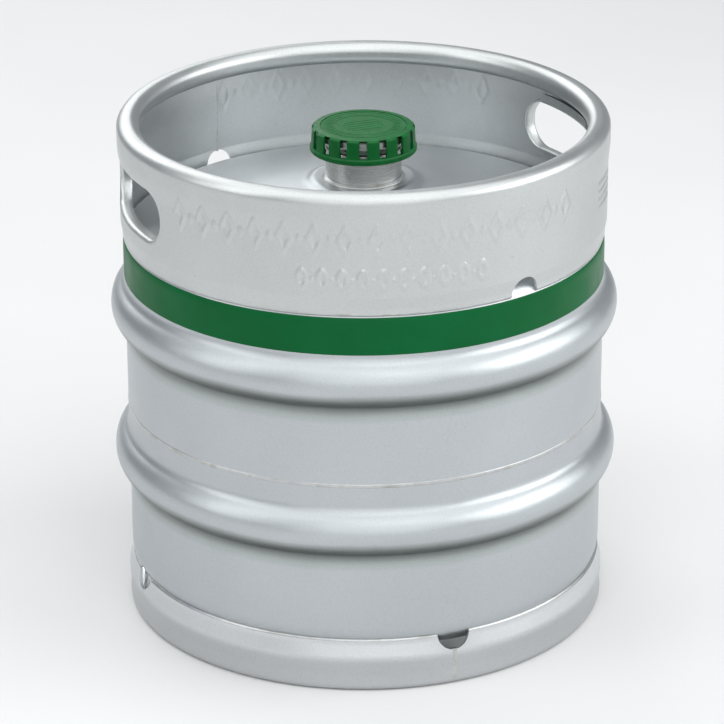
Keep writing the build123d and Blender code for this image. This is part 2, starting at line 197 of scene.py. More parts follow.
def upper_shell_path():
    crown_z, knuckle_z, joint = crown(TOP_APEX_Z, TOP_CROWN_R, TOP_KNUCKLE_R, 1)
    corners = [(BODY_R, GIRTH_Z + GIRTH_GAP), *hoop_corners(HOOP_Z[1]), (BODY_R, knuckle_z)]
    wall = rounded(corners, HOOP_RADII)
    slope = COLLAR_SLOPE
    foot_r = COLLAR_R + COLLAR_RISE_R * sin(radians(slope))
    start_r = foot_r
    for _ in range(20):
        tilt = degrees(asin(start_r / TOP_CROWN_R))
        start_r = foot_r + COLLAR_ROOT_R * (sin(radians(slope)) - sin(radians(tilt)))
    end_z = crown_z + TOP_CROWN_R * cos(radians(tilt))
    root = (start_r + COLLAR_ROOT_R * sin(radians(tilt)), end_z + COLLAR_ROOT_R * cos(radians(tilt)))
    both = COLLAR_ROOT_R + COLLAR_RISE_R
    rise = (root[0] - both * sin(radians(slope)), root[1] - both * cos(radians(slope)))
    top_z = rise[1] + COLLAR_RISE_R
    return join(
        wall,
        arc((BODY_R - TOP_KNUCKLE_R, knuckle_z), TOP_KNUCKLE_R, 0, 90 - joint),
        arc((0, crown_z), TOP_CROWN_R, 90 - joint, 90 - tilt, 0.6),
        arc(root, COLLAR_ROOT_R, 270 - tilt, 270 - slope),
        arc(rise, COLLAR_RISE_R, 90 - slope, 90),
        line((rise[0], top_z), (NECK_R + 0.05, top_z), 2.0),
    ), top_z


def lower_shell_path():
    crown_z, knuckle_z, joint = crown(BOTTOM_APEX_Z, BOTTOM_CROWN_R, BOTTOM_KNUCKLE_R, -1)
    corners = [(BODY_R, knuckle_z), *hoop_corners(HOOP_Z[0]), (BODY_R, GIRTH_Z - GIRTH_GAP)]
    wall = rounded(corners, HOOP_RADII)
    return join(
        arc((0, crown_z), BOTTOM_CROWN_R, 270, 270 + joint, 0.8),
        arc((BODY_R - BOTTOM_KNUCKLE_R, knuckle_z), BOTTOM_KNUCKLE_R, 270 + joint, 360),
        wall,
    )


def chime_path():
    inner_r = RIM_R - RIM_ROLL
    low_z = HEIGHT - RIM_ROLL
    corners = [
        (CHIME_FOOT_R, CHIME_Z), (CHIME_FOOT_R, CHIME_Z + 3), (CHIME_R, CHIME_Z + 12),
        (CHIME_R, CHIME_FLARE_Z[0]), (RIM_R, CHIME_FLARE_Z[1]), (RIM_R, HEIGHT), (inner_r, HEIGHT),
        (inner_r, low_z), (inner_r + 9.5, low_z),
    ]
    return rounded(corners, [8, 8, 40, 40, RIM_CORNER_R, RIM_CORNER_R, RIM_CORNER_R], 1.05, 9.0)


def foot_path():
    corners = [
        (FOOT_TOP_R, FOOT_TOP_Z), (FOOT_TOP_R + 0.1, FOOT_TOP_Z - 2.5), (182.5, 26.0), (181.2, 13.0),
        (FOOT_R, 5.0), (FOOT_R, 0.0), (FOOT_CURL_R, 0.0), (FOOT_CURL_R, 9.0),
    ]
    return rounded(corners, [8, 14, 16, 10, 4.5, 4], 1.5, 5.0)


# ------------------------------------------------------------------ small irregularities
def wobble(azimuth, z):
    """Radial error of the drawn and rolled steel, millimetres: slow waves and a few shallow dents."""
    a = np.radians(azimuth)
    wave = 0.09 * np.sin(3 * a + 0.7) * np.sin(z / 37.0 + 1.0)
    wave = wave + 0.05 * np.sin(7 * a + 2.1 + z / 23.0) + 0.03 * np.sin(16 * a - z / 9.0)
    wave = wave + 0.02 * np.sin(29 * a + z / 6.0 + 1.3)
    for crest in HOOP_Z:
        wave = wave - 0.2 * np.exp(-((z - crest) / 9.0) ** 2)
    for at, height, wide, tall, depth in DENTS:
        across = (azimuth - at + 180) % 360 - 180
        wave = wave - depth * np.exp(-((across / wide) ** 2) - ((z - height) / tall) ** 2)
    return wave


DENTS = [
    (-11.0, 277.0, 2.2, 5.0, 0.30), (12.0, 200.0, 2.6, 7.0, 0.3), (-62.0, 104.0, 2.0, 6.0, 0.3),
    (47.0, 62.0, 3.0, 6.0, 0.35), (150.0, 191.0, 3.0, 9.0, 0.5), (-140.0, 78.0, 2.5, 6.0, 0.45),
    (104.0, 217.0, 2.0, 5.0, 0.35), (-33.0, 132.0, 1.8, 3.0, 0.3), (6.0, 248.0, 1.5, 3.0, 0.25),
]


def place(r, azimuth, z):
    a = np.radians(azimuth)
    return np.stack(np.broadcast_arrays(r * np.sin(a), -r * np.cos(a), z), -1) * MM


# ------------------------------------------------------------------ meshes
def mesh_object(name, verts, faces, sharp=38.0, weld=False):
    mesh = bpy.data.meshes.new(name)
    mesh.from_pydata([tuple(v) for v in verts], [], faces)
    obj = bpy.data.objects.new(name, mesh)
    bpy.context.scene.collection.objects.link(obj)
    if weld:
        bm = bmesh.new()
        bm.from_mesh(mesh)
        bmesh.ops.remove_doubles(bm, verts=bm.verts, dist=1e-7)
        bm.to_mesh(mesh)
        bm.free()
    mesh.shade_smooth()
    if sharp:
        mesh.set_sharp_from_angle(angle=radians(sharp))
    mesh.validate()
    return obj


def strip(rows, closed_rows, closed_cols):
    """Quads over a grid of vertex numbers; columns run along axis 0."""
    rows = np.asarray(rows)
    if closed_cols:
        rows = np.concatenate([rows, rows[:1]])
    if closed_rows:
        rows = np.concatenate([rows, rows[:, :1]], 1)
    quads = np.stack([rows[:-1, :-1], rows[1:, :-1], rows[1:, 1:], rows[:-1, 1:]], -1)
    return quads.reshape(-1, 4).tolist()


def lathe(name, section, azimuths, shape=None, sharp=38.0, weld=False):
    """A closed section (radius, height) turned through the azimuths, bent by shape(r, azimuth, z)."""
    section = np.asarray(section)
    azimuths = np.asarray(azimuths, float)
    r = np.broadcast_to(section[:, 0], (len(azimuths), len(section))).copy()
    z = np.broadcast_to(section[:, 1], r.shape).copy()
    az = np.broadcast_to(azimuths[:, None], r.shape)
    if shape is not None:
        r, az, z = shape(r, az, z)
    verts = place(r, az, z).reshape(-1, 3)
    numbers = np.arange(len(verts)).reshape(r.shape)
    return mesh_object(name, verts, strip(numbers, True, True), sharp, weld)


def sheet_section(path, thickness):
    """Closed section of a sheet: the path and, back again, the skin to its left."""
    return np.concatenate([path, beside(path, thickness)[::-1]])


def around(step=1.5, fine=()):
    """Azimuths all the way round, with finer steps in (low, high, step) zones."""
    values = [a for a in np.arange(-180, 180, step) if not any(lo <= a <= hi for lo, hi, _ in fine)]
    for low, high, fine_step in fine:
        count = max(1, int(round((high - low) / fine_step)))
        values += list(np.linspace(low, high, count + 1))
    values = sorted(((v + 180) % 360) - 180 for v in values)
    kept = [values[0]]
    for v in values[1:]:
        if v - kept[-1] > 0.02:
            kept.append(v)
    return np.array(kept)


def notch_azimuths(centre, radius, at_r, count=9):
    """Azimuths that follow a round notch, closer together at its steep ends."""
    half = np.degrees(np.arcsin(radius * np.sin(np.radians(np.linspace(-90, 90, 2 * count + 1))) / at_r))
    return [centre + h for h in half]


def with_extra(azimuths, extra, clear=0.05):
    """Adds azimuths, dropping any old one that lies between or too near the new ones' span."""
    low, high = min(extra), max(extra)
    keep = [a for a in azimuths if not low - clear <= a <= high + clear]
    return np.array(sorted(keep + list(extra)))


def swelled(r, azimuth, z):
    return r + wobble(azimuth, z), azimuth, z


# ------------------------------------------------------------------ relief pressed into the chime
def lens(u, v, long_half, wide_half):
    radius = (long_half ** 2 + wide_half ** 2) / (2 * wide_half)
    shift = radius - wide_half
    return np.maximum(np.hypot(u - shift, v), np.hypot(u + shift, v)) - radius


def diamond(u, v, tall_half, wide_half):
    scale = tall_half * wide_half / sqrt(tall_half ** 2 + wide_half ** 2)
    return (np.abs(u) / wide_half + np.abs(v) / tall_half - 1) * scale


def plateau(distance, soft=0.5):
    """1 inside a shape, 0 outside, with a soft pressed edge."""
    t = np.clip(0.5 - distance / (2 * soft), 0, 1)
    return t * t * (3 - 2 * t)


def relief(azimuth, z):
    """Height of the plain pressed ornament, millimetres: lozenges, grains and studs in rows."""
    back = np.abs(azimuth) > 120
    azimuth, z = np.broadcast_arrays(azimuth, z)
    height = np.zeros(azimuth.shape)
    per_mm = degrees(1 / CHIME_R)

    def press(at, mid, reach, shape):
        u = ((azimuth - at + 180) % 360 - 180) / per_mm
        v = z - mid
        near = (np.abs(u) < reach) & (np.abs(v) < reach)
        if near.any():
            height[near] = np.maximum(height[near], plateau(shape(u[near], v[near])))

    def hollow_lozenge(u, v):
        return np.maximum(diamond(u, v, 13.2, 6.9), -diamond(u, v, 7.4, 3.3))

    def hollow_grain(u, v):
        return np.maximum(lens(u, v, 8.6, 4.6), -lens(u, v, 4.6, 1.7))

    def stud(radius):
        return lambda u, v: np.hypot(u, v) - radius

    for low, high, count in ((-67.0, 31.0, 15), (128.0, 196.0, 10)):
        pitch = (high - low) / (count - 1)
        for i in range(count):
            press(low + i * pitch, UPPER_ROW_Z, 16, hollow_lozenge)
            if i < count - 1:
                press(low + (i + 0.5) * pitch, UPPER_ROW_Z, 7, lambda u, v: diamond(u, v, 4.2, 2.6))
    for i in range(10):
        at = -35.0 + i * 4.6
        press(at, LOWER_ROW_Z, 12, hollow_grain)
        if i < 9:
            press(at + 2.3, LOWER_ROW_Z, 5, stud(1.2))
    for row in range(4):
        for i in range(7):
            press(50.0 + i * 1.7, 350.0 - row * 6.0, 4, stud(0.9))
    return np.where(back, RELIEF_HEIGHT[1], RELIEF_HEIGHT[0]) * height


# ------------------------------------------------------------------ upper chime with rolled holes
def chime_azimuths():
    fine = [(-69.0, 33.0, 0.33), (47.0, 62.0, 0.35), (125.0, 179.5, 0.45), (-180.0, -158.0, 0.45)]
    for at in HANDLE_AZ:
        fine.append((at - WINDOW_HALF_AZ, at + WINDOW_HALF_AZ, 0.6))
    azimuths = around(1.5, fine)
    for at in DRAIN_AZ:
        azimuths = with_extra(azimuths, notch_azimuths(at, DRAIN_R, CHIME_FOOT_R))
    return azimuths


def drain_low(azimuth):
    """Height of the chime's lower edge, lifted over the drain holes."""
    low = np.full(np.shape(azimuth), CHIME_Z)
    for at in DRAIN_AZ:
        w = CHIME_FOOT_R * np.sin(np.radians(azimuth - at))
        near = np.abs((azimuth - at + 180) % 360 - 180) < 10
        rise = DRAIN_Z + np.sqrt(np.clip(DRAIN_R ** 2 - w ** 2, 0, None))
        low = np.where(near & (np.abs(w) < DRAIN_R), np.maximum(low, rise), low)
    return low


def top_chime():
    path = chime_path()
    inner = beside(path, CHIME_T)
    wall = int(np.argmax(path[:, 1] > CHIME_FLARE_Z[1]))
    azimuths = chime_azimuths()
    count, rows = len(azimuths), len(path)
    az = np.broadcast_to(azimuths[:, None], (count, rows))
    low = drain_low(azimuths)[:, None]
    fold = 320.0
    squeeze = (fold - low) / (fold - CHIME_Z)

    def skin(section):
        z = np.broadcast_to(section[:, 1], (count, rows)).copy()
        r = np.broadcast_to(section[:, 0], (count, rows)).copy()
        moved = z < fold
        wall_z, wall_r = section[:wall, 1], section[:wall, 0]
        z = np.where(moved, fold - (fold - z) * squeeze, z)
        r = np.where(moved, np.interp(z, wall_z, wall_r), r)
        face = np.clip((RELIEF_TOP_Z - z) / RELIEF_FADE, 0, 1)
        face[:, wall + 8:] = 0
        return r + wobble(az, z) + relief(az, z) * face, z

    verts, faces = [], []

    def add(points):
        start = sum(len(v) for v in verts)
        verts.append(points.reshape(-1, 3))
        return np.arange(start, start + points.reshape(-1, 3).shape[0]).reshape(points.shape[:-1])

    ro, zo = skin(path)
    ri, zi = skin(inner)
    outer_ids, inner_ids = add(place(ro, az, zo)), add(place(ri, az, zi))

    windows = []
    k0 = int(np.argmin(np.abs(path[:wall, 1] - (HANDLE_Z - HANDLE_H / 2 - WINDOW_MARGIN[0]))))
    k1 = int(np.argmin(np.abs(path[:wall, 1] - (HANDLE_Z + HANDLE_H / 2 + WINDOW_MARGIN[1]))))
    skip = np.zeros((count, rows), bool)
    for at in HANDLE_AZ:
        j0 = int(np.argmin(np.abs(azimuths - (at - WINDOW_HALF_AZ))))
        j1 = int(np.argmin(np.abs(azimuths - (at + WINDOW_HALF_AZ))))
        skip[j0:j1, k0:k1] = True
        windows.append((at, j0, j1))

    def skin_faces(ids, flip):
        wrapped = np.concatenate([ids, ids[:1]])
        quads = np.stack([wrapped[:-1, :-1], wrapped[1:, :-1], wrapped[1:, 1:], wrapped[:-1, 1:]], -1)
        quads = quads[~skip[:, :-1]]
        return (quads[:, ::-1] if flip else quads).tolist()

    faces += skin_faces(outer_ids, False)
    faces += skin_faces(inner_ids, True)
    faces += strip(np.stack([inner_ids[:, 0], outer_ids[:, 0]], 1), False, True)
    faces += strip(np.stack([outer_ids[:, -1], inner_ids[:, -1]], 1), False, True)

    core = np.array([HANDLE_W / 2 - HANDLE_CORNER_R, HANDLE_H / 2 - HANDLE_CORNER_R])
    wall_z, wall_r = path[:wall, 1], path[:wall, 0]

    def on_wall(w, z, depth, at):
        r = np.interp(z, wall_z, wall_r)
        angle = at + np.degrees(np.arcsin(w / (r - depth)))
        return place(r + wobble(angle, z) - depth, angle, z)

    for at, j0, j1 in windows:
        border = (
            [(j, k0) for j in range(j0, j1)] + [(j1, k) for k in range(k0, k1)]
            + [(j, k1) for j in range(j1, j0, -1)] + [(j0, k) for k in range(k1, k0, -1)]
        )
        js, ks = np.array(border).T
        z = zo[js, ks]
        w = ro[js, ks] * np.sin(np.radians(azimuths[js] - at))
        local = np.stack([w, z - HANDLE_Z], 1)
        nearest = np.clip(local, -core, core)
        way = local - nearest
        way /= np.linalg.norm(way, axis=1)[:, None]

        def ring(growth, depth):
            p = nearest + way * (HANDLE_CORNER_R + growth)
            return on_wall(p[:, 0], p[:, 1] + HANDLE_Z, depth, at)

        edge = nearest + way * (HANDLE_CORNER_R + LIP_BEND)
        for ids, depth, flip in ((outer_ids, 0.0, False), (inner_ids, CHIME_T, True)):
            loops = [ids[js, ks]]
            for t in (0.2, 0.4, 0.6, 0.8, 1.0):
                p = local * (1 - t) + edge * t
                loops.append(add(on_wall(p[:, 0], p[:, 1] + HANDLE_Z, depth, at)))
            quads = strip(np.stack(loops), True, False)
            faces += [q[::-1] for q in quads] if flip else quads
            if flip:
                inner_loop = loops[-1]
            else:
                outer_loop = loops[-1]
        bend = []
        for angle in (18, 36, 54, 72, 90):
            bend.append((LIP_BEND * (1 - sin(radians(angle))), LIP_BEND * (1 - cos(radians(angle)))))
        tip = LIP_DEPTH - CHIME_T / 2
        lip = bend + [(0.0, 6.0), (0.0, tip)]
        for angle in (45, 90, 135, 180):
            half = CHIME_T / 2
            lip.append((half - half * cos(radians(angle)), tip + half * sin(radians(angle))))
        small = LIP_BEND - CHIME_T
        lip.append((CHIME_T, 6.0))
        for angle in (90, 60, 30):
            turned = radians(angle)
            lip.append((CHIME_T + small * (1 - sin(turned)), CHIME_T + small * (1 - cos(turned))))
        loops = [outer_loop] + [add(ring(g, d)) for g, d in lip] + [inner_loop]
        faces += strip(np.stack(loops), True, False)

        # The grip over the hole, in (height, depth): the lip's upper edge is folded up behind the rim.
        across = np.linspace(-GRIP_W / 2, GRIP_W / 2, 38)
        fold_mid = join(
            line((359.0, 6.5), (359.0, 8.8), 1.2), arc((361.6, 8.8), 2.6, 180, 90, 15),
            line((361.6, 11.4), (366.6, 11.4), 1.5),
        )
        section = np.concatenate([beside(fold_mid, GRIP_T / 2), beside(fold_mid, -GRIP_T / 2)[::-1]])
        ids = []
        for w in across:
            drop = np.clip((np.abs(w) - 34) / 3, 0, 1) * 1.6
            zz = section[:, 0] - drop * np.clip((section[:, 0] - 361) / 5, 0, 1)
            ids.append(add(on_wall(np.full(len(zz), w), zz, section[:, 1], at)))
        ids = np.stack(ids)
        faces += strip(ids, True, False)
        faces += [ids[0][::-1].tolist(), ids[-1].tolist()]
    return mesh_object("chime_sheet", np.concatenate(verts), faces, 50.0)


# ------------------------------------------------------------------ foot ring
def bottom_chime():
    path = foot_path()
    azimuths = around(1.5)
    for at in NOTCH_AZ:
        extra = notch_azimuths(at, NOTCH_R, NOTCH_AT_R)
        if at == 180.0:
            extra = [((a + 180) % 360) - 180 for a in extra]
            azimuths = np.array(sorted([a for a in azimuths if abs(a) < 175.5] + extra))
        else:
            azimuths = with_extra(azimuths, extra)
    fold = 24.0
    top = np.full(len(azimuths), FOOT_TOP_Z)
    for at in NOTCH_AZ:
        turn = (azimuths - at + 180) % 360 - 180
        w = NOTCH_AT_R * np.sin(np.radians(turn))
        dip = NOTCH_Z - np.sqrt(np.clip(NOTCH_R ** 2 - w ** 2, 0, None))
        top = np.where((np.abs(turn) < 10) & (np.abs(w) < NOTCH_R), np.minimum(top, dip), top)
    squeeze = ((top - fold) / (FOOT_TOP_Z - fold))[:, None]
    outer, inner = path, beside(path, -FOOT_T)

    def skin(section):
        wall = section[section[:, 1] > 5]
        wall = wall[wall[:, 0] > 175]
        wall = wall[np.argsort(wall[:, 1])]
        z = np.broadcast_to(section[:, 1], (len(azimuths), len(section))).copy()
        r = np.broadcast_to(section[:, 0], z.shape).copy()
        moved = z > fold
        z = np.where(moved, fold + (z - fold) * squeeze, z)
        r = np.where(moved, np.interp(z, wall[:, 1], wall[:, 0]), r)
        return r, z

    ro, zo = skin(outer)
    ri, zi = skin(inner)
    r = np.concatenate([ro, ri[:, ::-1]], 1)
    z = np.concatenate([zo, zi[:, ::-1]], 1)
    az = np.broadcast_to(azimuths[:, None], r.shape)
    low = np.clip(z / 6.0, 0, 1)
    verts = place(r + wobble(az, z) * low, az, z).reshape(-1, 3)
    faces = strip(np.arange(len(verts)).reshape(r.shape), True, True)
    return mesh_object("foot_sheet", verts, [f[::-1] for f in faces], 50.0)


# ------------------------------------------------------------------ welds
def bead_shape(pitch, depth):
    """Ripples of a weld run round the keg."""
    def shape(r, azimuth, z):
        along = np.radians(azimuth) * BEAD_R
        ripple = depth * (np.abs(np.sin(along * pi / pitch)) - 0.5)
        ripple = ripple + depth * 0.6 * np.sin(along / 5.1 + 1.0) * np.sin(along / 13.7)
        return r + wobble(azimuth, z) + ripple, azimuth, z
    return shape


def girth_weld():
    # The foot of the bead lies just under the skin.
    section = [
        (BODY_R - 0.3, GIRTH_Z - 1.7), (BODY_R + 0.02, GIRTH_Z - 1.4), (BODY_R + 0.20, GIRTH_Z - 0.8),
        (BODY_R + 0.26, GIRTH_Z), (BODY_R + 0.20, GIRTH_Z + 0.8), (BODY_R + 0.02, GIRTH_Z + 1.4),
        (BODY_R - 0.3, GIRTH_Z + 1.7), (BODY_R - SHELL_T, GIRTH_Z + GIRTH_GAP),
        (BODY_R - SHELL_T, GIRTH_Z - GIRTH_GAP),
    ]
    return lathe("girth_bead", section, around(0.5), shape=bead_shape(2.6, 0.05), sharp=None)


def broken_ring(name, section, gaps, radius, pitch, depth):
    """A weld run left open at round gaps, as one object."""
    spans = []
    gaps = sorted(gaps)
    half = degrees(asin((radius - 0.3) / 179.0))
    for i, at in enumerate(gaps):
        nxt = gaps[(i + 1) % len(gaps)] + (360 if i == len(gaps) - 1 else 0)
        spans.append((at + half, nxt - half))
    verts, faces, base = [], [], 0
    section = np.asarray(section)
    shape = bead_shape(pitch, depth)
    for low, high in spans:
        azimuths = np.linspace(low, high, int((high - low) / 0.6))
        az = np.broadcast_to(azimuths[:, None], (len(azimuths), len(section)))
        r, z = (np.broadcast_to(column, az.shape) for column in section.T)
        r, _, z = shape(r, az, z)
        verts.append(place(r, az, z).reshape(-1, 3))
        numbers = np.arange(r.size).reshape(r.shape) + base
        faces += strip(numbers, True, False) + [numbers[0][::-1].tolist(), numbers[-1].tolist()]
        base += r.size
    return mesh_object(name, np.concatenate(verts), faces, None)


def top_chime_weld():
    section = [
        (177.6, CHIME_Z - 2.5), (178.9, CHIME_Z - 2.4), (179.4, CHIME_Z - 1.7), (179.75, CHIME_Z - 0.6),
        (179.8, CHIME_Z + 0.2), (177.0, CHIME_Z + 0.2), (176.8, CHIME_Z - 1.2),
    ]
    return broken_ring("chime_bead", section, DRAIN_AZ, DRAIN_R, 2.4, 0.12)


def bottom_chime_weld():
    section = [
        (177.3, FOOT_TOP_Z - 0.2), (179.1, FOOT_TOP_Z - 0.2), (178.8, FOOT_TOP_Z + 0.3),
        (178.5, FOOT_TOP_Z + 0.7), (178.1, FOOT_TOP_Z + 1.3), (177.1, FOOT_TOP_Z + 1.1),
    ]
    return broken_ring("foot_bead", section, NOTCH_AZ, NOTCH_R, 2.4, 0.07)


def upright_weld(name, azimuth, low, high, radius_at, width, swell, thickness, rippling):
    """A butt weld up a chime: a shallow rippled bead on both faces."""
    heights = np.linspace(low, high, int((high - low) / 0.5) + 1)
    across = np.linspace(-1, 1, 7)
    rings = []
    for h in heights:
        ripple = 1 + rippling * (abs(sin(h * pi / 2.3)) + 0.6 * sin(h / 7.0))
        end = min(1.0, (h - low) / 1.5 + 0.05, (high - h) / 1.5 + 0.05)
        out = [(c * width / 2, swell * ripple * end * sqrt(max(0.0, 1 - c * c)) - 0.05) for c in across]
        back = [(c * width / 2, -thickness - swell * 0.8 * ripple * end * sqrt(max(0.0, 1 - c * c)) + 0.05)
                for c in across[::-1]]
        r0 = radius_at(h) + float(wobble(np.array(azimuth), np.array(h)))
        ring = [(r0 + dr, azimuth + degrees(w / r0), h) for w, dr in out + back]
        rings.append([place(np.array(r), np.array(a), np.array(z)) for r, a, z in ring])
    verts = np.array(rings)
    numbers = np.arange(verts.shape[0] * verts.shape[1]).reshape(verts.shape[:2])
    faces = strip(numbers, True, False) + [numbers[0][::-1].tolist(), numbers[-1].tolist()]
    return mesh_object(name, verts.reshape(-1, 3), faces, 40.0)


# ------------------------------------------------------------------ small turned pieces
def neck_weld(collar_z):
    section = [
        (NECK_R - 0.4, collar_z - 0.4), (NECK_R + 2.7, collar_z - 0.3), (NECK_R + 2.2, collar_z + 0.45),
        (NECK_R + 1.3, collar_z + 1.0), (NECK_R + 0.6, collar_z + 1.9), (NECK_R - 0.2, collar_z + 2.5),
    ]

    def shape(r, azimuth, z):
        a = np.radians(azimuth) * 29.0
        rise = 0.14 * (np.abs(np.sin(a * pi / 1.9)) - 0.4)
        return np.where(r > NECK_R, r + rise, r), azimuth, z
    return lathe("neck_bead", section, around(1.5), shape=shape, sharp=None)


def neck_socket():
    low, high = NECK_Z
    path = rounded(
        [(NECK_BORE_R, (low + high) / 2), (NECK_BORE_R, high), (NECK_R, high), (NECK_R, low),
         (NECK_BORE_R, low), (NECK_BORE_R, (low + high) / 2 - 0.5)],
        [0.5, 0.7, 0.4, 0.4], 4.0, 22.0)
    return lathe("neck_tube", path, around(3.0), sharp=50.0)


def valve_spring():
    """The valve's coil: round wire between the cage floor and the seal carrier."""
    steps = 40 * SPRING_TURNS
    rise = SPRING_HIGH_Z - SPRING_LOW_Z
    climb = rise / (2 * pi * SPRING_TURNS)
    turned = np.linspace(0, 2 * pi * SPRING_TURNS, steps + 1)
    out = np.stack([np.cos(turned), np.sin(turned), np.zeros(steps + 1)], 1)
    along = np.stack([-SPRING_R * np.sin(turned), SPRING_R * np.cos(turned), np.full(steps + 1, climb)], 1)
    along /= np.linalg.norm(along, axis=1)[:, None]
    side = np.cross(along, out)
    centre = out * SPRING_R
    centre[:, 2] = SPRING_LOW_Z + climb * turned
    round_wire = np.linspace(0, 2 * pi, 12, endpoint=False)[None, :, None]
    rim = np.cos(round_wire) * out[:, None] + np.sin(round_wire) * side[:, None]
    grid = centre[:, None] + SPRING_WIRE_R * rim
    numbers = np.arange(grid.shape[0] * grid.shape[1]).reshape(grid.shape[:2])
    faces = [q[::-1] for q in strip(numbers, True, False)]
    faces += [numbers[0].tolist(), numbers[-1][::-1].tolist()]
    return mesh_object("spring_coil", grid.reshape(-1, 3) * MM, faces, 50.0)


def cap_relief():
    """Plain raised ring and short ticks moulded on the cap's top."""
    top = CAP_TOP_Z - 0.3
    verts, faces = [], []

    def add(grid, closed):
        start = sum(len(v) for v in verts)
        verts.append(grid.reshape(-1, 3))
        ids = np.arange(start, start + grid.shape[0] * grid.shape[1]).reshape(grid.shape[:2])
        faces.extend(strip(ids, True, closed))
        if not closed:
            faces.extend([ids[0][::-1].tolist(), ids[-1].tolist()])

    def band(inner, outer, low, high, azimuths, closed):
        mid = (low + high) / 2
        section = np.array([
            (inner - 0.15, low), (inner, mid), (inner + 0.2, high), (outer - 0.2, high), (outer, mid),
            (outer + 0.15, low),
        ])
        az = np.broadcast_to(np.asarray(azimuths)[:, None], (len(azimuths), len(section)))
        r, z = (np.broadcast_to(column, az.shape) for column in section.T)
        add(place(r, az, z), closed)

    rounds = np.arange(0, 360, 3.0)
    band(21.6, 22.6, top - 0.3, top + 0.25, rounds, True)
    band(28.6, 29.4, top - 0.3, top + 0.25, rounds, True)
    for i in range(48):
        at = i * 7.5
        length = 4.4 if i % 4 else 5.2
        half = degrees(0.42 / 25.5)
        band(25.3 - length / 2, 25.3 + length / 2, top - 0.3, top + 0.2, [at - half, at + half], False)
    # Five plain bars across the middle.
    for i in range(5):
        y = -9.0 + i * 4.5
        half = sqrt(15.0 ** 2 - y ** 2)
        grid = []
        for x in (-half, half):
            grid.append([(x, y - 0.65, top - 0.3), (x, y - 0.45, top + 0.22), (x, y + 0.45, top + 0.22),
                         (x, y + 0.65, top - 0.3)])
        add(np.array(grid) * MM, False)
    return mesh_object("cap_relief", np.concatenate(verts), faces, 30.0)


# ------------------------------------------------------------------ materials
def new_material(name):
    material = bpy.data.materials.new(name)
    material.use_nodes = True
    tree = material.node_tree
    shader = tree.nodes["Principled BSDF"]
    coords = tree.nodes.new("ShaderNodeTexCoord")
    return material, tree, shader, coords.outputs["Object"]


def noise(tree, vector, scale, detail=3.0, roughness=0.5, stretch=None):
    if stretch:
        mapping = tree.nodes.new("ShaderNodeMapping")
        mapping.inputs["Scale"].default_value = stretch
        tree.links.new(vector, mapping.inputs["Vector"])
        vector = mapping.outputs["Vector"]
    node = tree.nodes.new("ShaderNodeTexNoise")
    node.inputs["Scale"].default_value = scale
    node.inputs["Detail"].default_value = detail
    node.inputs["Roughness"].default_value = roughness
    tree.links.new(vector, node.inputs["Vector"])
    return node.outputs["Fac"]


def ramp(tree, factor, stops):
    node = tree.nodes.new("ShaderNodeValToRGB")
    elements = node.color_ramp.elements
    while len(elements) < len(stops):
        elements.new(0.5)
    for element, (position, value) in zip(elements, stops):
        element.position = position
        colour = value if isinstance(value, tuple) else (value, value, value)
        element.color = (*colour, 1.0)
    tree.links.new(factor, node.inputs["Fac"])
    return node.outputs["Color"]


def drive(tree, factor, stops, socket):
    """A ramp straight into a shader's socket."""
    tree.links.new(ramp(tree, factor, stops), socket)


def mix(tree, mode, factor, a, b):
    node = tree.nodes.new("ShaderNodeMix")
    node.data_type = "RGBA"
    node.blend_type = mode
    for value, socket in ((factor, node.inputs[0]), (a, node.inputs[6]), (b, node.inputs[7])):
        if isinstance(value, (int, float)):
            socket.default_value = value
        elif isinstance(value, tuple):
            socket.default_value = (*value, 1.0)
        else:
            tree.links.new(value, socket)
    return node.outputs[2]


def bump(tree, shader, layers):
    """Chains (height, strength, distance in metres) bumps into the shader's normal."""
    last = None
    for height, strength, distance in layers:
        node = tree.nodes.new("ShaderNodeBump")
        node.inputs["Strength"].default_value = strength
        node.inputs["Distance"].default_value = distance
        tree.links.new(height, node.inputs["Height"])
        if last is not None:
            tree.links.new(last, node.inputs["Normal"])
        last = node.outputs["Normal"]
    tree.links.new(last, shader.inputs["Normal"])


TONE_JITTER = 0.004           # metres


def height_tone(tree, vector, stops):
    """A tone by height, {millimetres: grey or colour}, with a slightly uneven edge."""
    split = tree.nodes.new("ShaderNodeSeparateXYZ")
    tree.links.new(vector, split.inputs[0])
    jitter = tree.nodes.new("ShaderNodeMath")
    jitter.operation = "MULTIPLY_ADD"
    tree.links.new(noise(tree, vector, 12.0, 4.0, 0.6), jitter.inputs[0])
    jitter.inputs[1].default_value = TONE_JITTER
    tree.links.new(split.outputs["Z"], jitter.inputs[2])
    scale = tree.nodes.new("ShaderNodeMapRange")
    scale.inputs["From Min"].default_value = TONE_JITTER / 2
    scale.inputs["From Max"].default_value = HEIGHT * MM + TONE_JITTER / 2
    tree.links.new(jitter.outputs[0], scale.inputs["Value"])
    tones = [(z / HEIGHT, tone) for z, tone in sorted(stops.items())]
    return ramp(tree, scale.outputs["Result"], tones)


def painted_hoop_shade():
    """Painted shade: darker tones in the hollow under each rolling hoop, standing in for the shadow and
    dark reflection there.
    """
    stops = {}
    tones = ((30, 1.0), (24.5, 0.84), (20, 0.50), (16, 0.34), (11, 0.36), (8, 0.62), (4, 1.0))
    for crest in HOOP_Z:
        for below, tone in tones:
            stops[crest - below] = (tone * 0.98, tone, tone * 0.96) if tone < 1 else 1.0
    return stops


